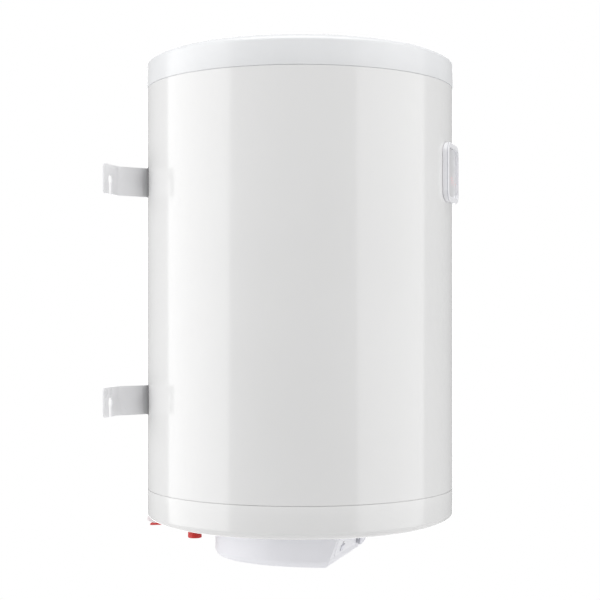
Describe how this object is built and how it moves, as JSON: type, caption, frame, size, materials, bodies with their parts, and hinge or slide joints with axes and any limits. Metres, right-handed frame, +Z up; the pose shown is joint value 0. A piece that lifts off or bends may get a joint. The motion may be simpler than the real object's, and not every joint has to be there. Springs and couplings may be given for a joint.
{
  "type": "tank water heater",
  "caption": "Wall-hung round electric storage water heater with wall straps, front display and a bottom cover with knob and button.",
  "frame": {"origin": "centre of the four wall-hook holes, on the plane of the wall", "axes": "+Z up, +Y into the wall, the front with the display faces -Y, +X to the right as seen from the front"},
  "size_m": [0.45, 0.46, 0.737],
  "materials": {
    "casing_white": "gloss white enamel paint",
    "cap_white": "moulded gloss white",
    "bracket_paint": "white powder coat",
    "tank_enamel": "vitreous enamel",
    "foam": "rigid polyurethane foam",
    "black_rubber": "soft black",
    "zinc_steel": "zinc plated",
    "stainless": "drawn tube",
    "copper": "copper sheath",
    "magnesium": "extruded rod",
    "brass": "turned",
    "cover_white": "moulded bluish white",
    "panel_white": "moulded pale blue-grey",
    "button_grey": "moulded grey",
    "knob_white": "moulded white with grey centre",
    "red_plastic": "moulded red",
    "blue_plastic": "moulded blue",
    "white_nylon": "natural nylon",
    "black_plastic": "moulded black",
    "circuit_green": "solder mask",
    "bezel_white": "moulded white",
    "lens_smoke": "pale, lightly tinted window",
    "digit_red": "lit red segments",
    "ceramic_white": "steatite"
  },
  "bodies": {
    "heater": {"outer_casing": "casing_white", "top_cap": "cap_white", "bottom_cap": "casing_white", "tank_barrel": "tank_enamel", "tank_top_head": "tank_enamel", "tank_bottom_head": "tank_enamel", "flange_neck": "tank_enamel", "insulation_foam": "foam", "upper_bracket": "bracket_paint", "lower_bracket": "bracket_paint", "bracket_slot_seals": "black_rubber", "flange_gasket": "black_rubber", "flange_plate": "zinc_steel", "flange_studs": "zinc_steel", "flange_nuts": "zinc_steel", "left_heating_element": "copper", "right_heating_element": "copper", "element_insulators": "ceramic_white", "magnesium_anode": "magnesium", "anode_nut": "zinc_steel", "sensor_pocket": "stainless", "temperature_sensor": "copper", "thermal_cutout": "black_plastic", "hot_outlet_pipe": "stainless", "cold_inlet_pipe": "stainless", "cold_diffuser": "white_nylon", "pipe_bushings": "white_nylon", "drain_stub": "stainless", "drain_valve_body": "brass", "service_cover": "cover_white", "cover_screws": "zinc_steel", "control_panel": "panel_white", "pilot_lens": "lens_smoke", "power_switch": "black_plastic", "panel_board": "circuit_green", "thermostat_body": "black_plastic", "cable_gland": "black_plastic", "gland_nut": "black_plastic", "terminal_block": "white_nylon", "terminal_screws": "brass", "earth_stud": "brass", "earth_nut": "brass", "display_bezel": "bezel_white", "display_gasket": "bezel_white", "display_lens": "lens_smoke", "display_housing": "black_plastic", "display_board": "circuit_green", "digit_block": "black_plastic", "digit_segments": "digit_red"},
    "knob": {"temperature_knob": "knob_white", "thermostat_spindle": "zinc_steel"},
    "button": {"power_button": "knob_white"},
    "reset": {"reset_button": "red_plastic"},
    "lever": {"drain_lever": "red_plastic", "drain_stem": "brass"},
    "hot_stopper": {"hot_plug": "red_plastic"},
    "cold_stopper": {"cold_plug": "blue_plastic"}
  },
  "joints": [
    {"name": "knob_turn", "type": "hinge", "parent": "heater", "child": "knob", "pos_m": [0.054, -0.30868, -0.3594], "axis": [0, 0.9489, 0.3156], "range_deg": [0, 270]},
    {"name": "power_press", "type": "slide", "parent": "heater", "child": "button", "axis": [0, 0.9489, 0.3156], "range_m": [0, 0.0015], "stiffness_N_per_m": 400},
    {"name": "reset_press", "type": "slide", "parent": "heater", "child": "reset", "axis": [0, 0, 1], "range_m": [0, 0.002], "stiffness_N_per_m": 400},
    {"name": "lever_turn", "type": "hinge", "parent": "heater", "child": "lever", "pos_m": [-0.0505, -0.06, -0.3412], "axis": [-1, 0, 0], "range_deg": [0, 90]},
    {"name": "hot_plug_pull", "type": "slide", "parent": "heater", "child": "hot_stopper", "axis": [0, 0, -1], "range_m": [0, 0.03]},
    {"name": "cold_plug_pull", "type": "slide", "parent": "heater", "child": "cold_stopper", "axis": [0, 0, -1], "range_m": [0, 0.03]}
  ]
}
